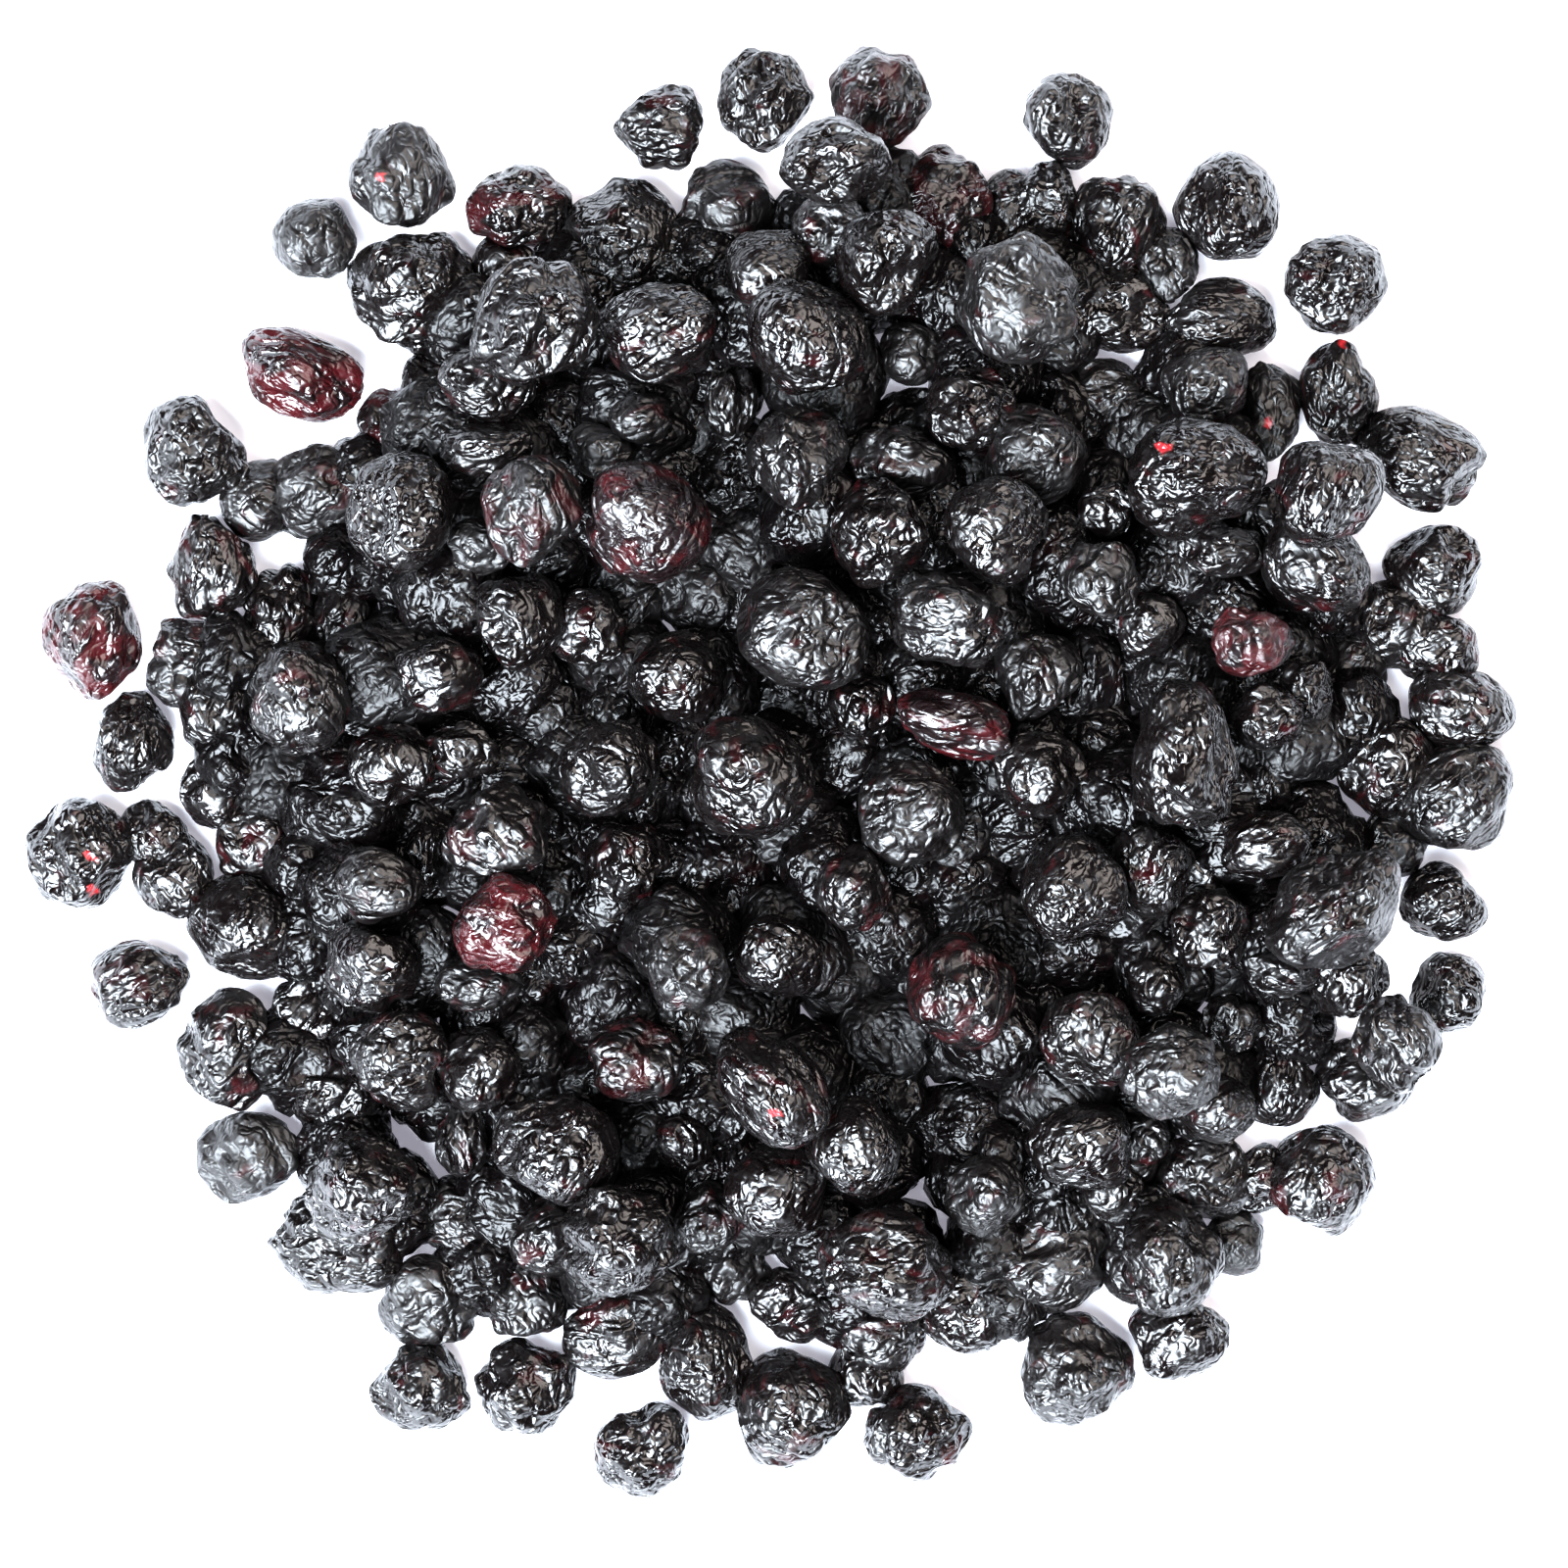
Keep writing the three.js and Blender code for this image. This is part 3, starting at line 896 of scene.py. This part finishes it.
# %% Node group for crinkled skin
def skin_group():
    tree = new_group(
        "crinkled skin",
        [("Place", "NodeSocketVector"), ("Redness", "NodeSocketFloat"),
         ("Dullness", "NodeSocketFloat"), ("Fleck", "NodeSocketFloat"),
         ("Dark", "NodeSocketColor"), ("Red", "NodeSocketColor")],
        [("Color", "NodeSocketColor"), ("Roughness", "NodeSocketFloat"),
         ("Height", "NodeSocketFloat")],
    )
    given = tree.nodes.new("NodeGroupInput")
    result = tree.nodes.new("NodeGroupOutput")
    place = given.outputs["Place"]
    tree.links.new(skin_colour(tree, given, place), result.inputs["Color"])
    tree.links.new(skin_roughness(tree, given, place), result.inputs["Roughness"])
    tree.links.new(skin_crinkles(tree, place), result.inputs["Height"])
    return tree


crinkled_skin = skin_group()
print("The skin group has", len(crinkled_skin.nodes), "nodes")


# %% [markdown]
# ## The skins
#
# The dark skin is on nearly all berries, and the wine skin on the few whose solids are wine
# red. The berries deep in the gaps get a darker and less shiny copy of the skin, which is
# painted shade: little light reaches them, and their small highlights would make the gaps look
# shallow. The group gives what changes over the skin, and what is the same all over is set on
# the material itself.

# %% Materials for the skins
CRINKLE_DEPTH = 0.0014
SKIN_IOR = 1.45
SKIN_SHINE = 0.7
# Painted shade: the berries deep in the gaps shine less than the others, as if in shadow.
SHADED_DEEP_SHINE = 0.36
DARK_COLOURS = ((0.0026, 0.0016, 0.0016), (0.0200, 0.0028, 0.0036))
WINE_COLOURS = ((0.0060, 0.0027, 0.0030), (0.0320, 0.0038, 0.0050))
# Painted shade: darker colours for the berries deep in the gaps.
SHADED_DEEP_COLOURS = ((0.0020, 0.0014, 0.0015), (0.0050, 0.0018, 0.0020))


def skin_material(name, colours, shine):
    material = bpy.data.materials.new(name)
    material.use_nodes = True
    tree = material.node_tree
    surface = tree.nodes["Principled BSDF"]
    surface.inputs["IOR"].default_value = SKIN_IOR
    surface.inputs["Specular IOR Level"].default_value = shine
    place = add_node(tree, "ShaderNodeAttribute", attribute_name=PLACE_ATTRIBUTE)
    berry = add_node(tree, "ShaderNodeAttribute", attribute_name=SKIN_ATTRIBUTE)
    parts = tree.nodes.new("ShaderNodeSeparateColor")
    group = add_node(tree, "ShaderNodeGroup", node_tree=crinkled_skin)
    for socket, colour in zip(("Dark", "Red"), colours):
        group.inputs[socket].default_value = (*colour, 1)
    bump = add_node(tree, "ShaderNodeBump", {"Strength": 1.0, "Distance": CRINKLE_DEPTH})
    tree.links.new(place.outputs["Vector"], group.inputs["Place"])
    tree.links.new(berry.outputs["Color"], parts.inputs["Color"])
    tree.links.new(parts.outputs["Red"], group.inputs["Redness"])
    tree.links.new(parts.outputs["Green"], group.inputs["Dullness"])
    tree.links.new(parts.outputs["Blue"], group.inputs["Fleck"])
    tree.links.new(group.outputs["Color"], surface.inputs["Base Color"])
    tree.links.new(group.outputs["Roughness"], surface.inputs["Roughness"])
    tree.links.new(group.outputs["Height"], bump.inputs["Height"])
    tree.links.new(bump.outputs["Normal"], surface.inputs["Normal"])
    return material


skins = {
    "dark_skin": skin_material("dark_skin", DARK_COLOURS, SKIN_SHINE),
    "wine_skin": skin_material("wine_skin", WINE_COLOURS, SKIN_SHINE),
}
# The skin of the berries deep in the gaps is painted shade.
painted_shade_skin = skin_material("painted_shade_skin", SHADED_DEEP_COLOURS, SHADED_DEEP_SHINE)
print(len(skins) + 1, "skins are ready")

# %% Put the skins on
slot_of = {part["node"]: part["material_slot"] for part in frame["record"]["subparts"]}
for node, piece in single_pieces.items():
    piece.data.materials.clear()
    piece.data.materials.append(skins[slot_of[node]])
    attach(piece, "root")
    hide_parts(node)
for piece in pile_pieces:
    piece.data.materials.clear()
    piece.data.materials.append(painted_shade_skin if piece.name == "hidden_berries" else skins["dark_skin"])
    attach(piece, "root")
    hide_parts("fused_berries")
print("Skins are on", len(single_pieces) + len(pile_pieces), "pieces")

# %% [markdown]
# ## The table
#
# The heap lies on a plain white table, so bright that only soft pale shadows are left between the
# berries. The table gives a little light of its own, as if it were lit from all over the room.
# More lamps could do that too, but the glossy berries would mirror each of them.

# %% Table
TABLE_SIZE = 3
TABLE_ROUGHNESS = 0.6
TABLE_GLOW = 0.30
bpy.ops.object.select_all(action="DESELECT")
bpy.ops.mesh.primitive_plane_add(size=TABLE_SIZE, location=(0, 0, 0))
floor = bpy.context.object
floor.name = "table"
white = bpy.data.materials.new("white_table")
white.use_nodes = True
white_surface = white.node_tree.nodes["Principled BSDF"]
white_surface.inputs["Base Color"].default_value = (0.86, 0.86, 0.89, 1)
white_surface.inputs["Roughness"].default_value = TABLE_ROUGHNESS
white_surface.inputs["Emission Color"].default_value = (0.88, 0.86, 1.0, 1)
white_surface.inputs["Emission Strength"].default_value = TABLE_GLOW
floor.data.materials.append(white)
print("The table is", round(floor.dimensions.x, 1), "m wide")


# %% [markdown]
# ## Light
#
# Black glossy things are lit by what they reflect. A large cool window stands a metre off, high
# over the left front, about 35 degrees from straight overhead. It gives nearly all the light
# and the sparkle on each fold. A dim warm one opposite lifts the sides that face away from it.
# Straight overhead it is dark, so the tops that face the camera stay black.

# %% Windows and sky
WINDOW_DISTANCE = 1.0
COOL_POWER = 98
WARM_POWER = 11
SKY_STRENGTH = 0.03


def window_light(name, way, size, power, colour):
    lamp = bpy.data.lights.new(name, "AREA")
    lamp.energy = power
    lamp.color = colour
    lamp.shape = "RECTANGLE"
    lamp.size, lamp.size_y = size
    window = bpy.data.objects.new(name, lamp)
    bpy.context.scene.collection.objects.link(window)
    way = Vector(way).normalized()
    window.location = way * WINDOW_DISTANCE
    window.rotation_euler = way.to_track_quat("Z", "Y").to_euler()


window_light("cool_window", (-0.41, -0.47, 0.87), (1.00, 0.86), COOL_POWER, (0.84, 0.92, 1.0))
window_light("warm_window", (0.45, 0.42, 0.80), (0.90, 0.70), WARM_POWER, (1.0, 0.91, 0.86))
world = bpy.data.worlds.new("sky")
bpy.context.scene.world = world
world.use_nodes = True
sky = world.node_tree.nodes["Background"]
sky.inputs["Color"].default_value = (0.90, 0.90, 1.0, 1)
sky.inputs["Strength"].default_value = SKY_STRENGTH

# %% [markdown]
# ## Camera
#
# The camera looks straight down. A long lens far away keeps the berries at the edge from leaning
# outwards. Its distance follows from the picture's width, measured 8 mm above the table.
# The picture is shown with a little more contrast, which keeps the black skins deep.

# %% Camera
FRAME_PX = 1600
FRAME_WIDTH = FRAME_PX * MM_PER_PIXEL * MM
CAMERA_LENS = 200
SENSOR_WIDTH = 36
FOCUS_HEIGHT = 0.008
frame_middle = place_from_pixel((FRAME_PX / 2, FRAME_PX / 2)) * MM
camera = bpy.data.cameras.new("camera")
camera.lens = CAMERA_LENS
camera.sensor_width = SENSOR_WIDTH
camera_object = bpy.data.objects.new("camera", camera)
bpy.context.scene.collection.objects.link(camera_object)
camera_distance = FRAME_WIDTH * CAMERA_LENS / SENSOR_WIDTH
camera_object.location = (frame_middle[0], frame_middle[1], FOCUS_HEIGHT + camera_distance)
bpy.context.scene.camera = camera_object
bpy.context.scene.view_settings.view_transform = "Standard"
bpy.context.scene.view_settings.look = "Medium High Contrast"
print("The camera is", round(camera_distance, 3), "m above the heap")
